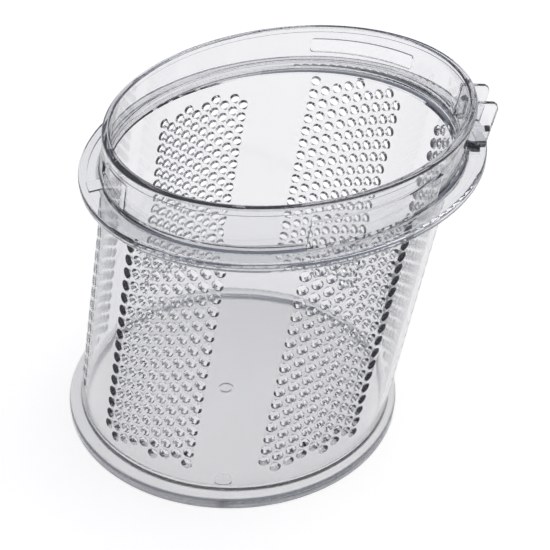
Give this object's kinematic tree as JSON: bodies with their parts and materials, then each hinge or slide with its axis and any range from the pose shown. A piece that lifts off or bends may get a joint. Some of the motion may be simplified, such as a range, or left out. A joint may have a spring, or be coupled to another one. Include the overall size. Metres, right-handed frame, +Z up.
{
  "type": "perforated filter basket",
  "caption": "Clear plastic filter basket: a leaning round tube with bands of small holes, a flat closed foot, a tilted flange and an open collar with a clip at the mouth.",
  "frame": {"origin": "centre of the foot's flat underside", "axes": "+Z up out of the foot, +X the way the tube leans and towards the clip"},
  "size_m": [0.1203, 0.1096, 0.1044],
  "materials": {
    "clear_plastic": "clear, polished"
  },
  "bodies": {
    "root": {"filter_body": "clear_plastic"}
  },
  "joints": []
}
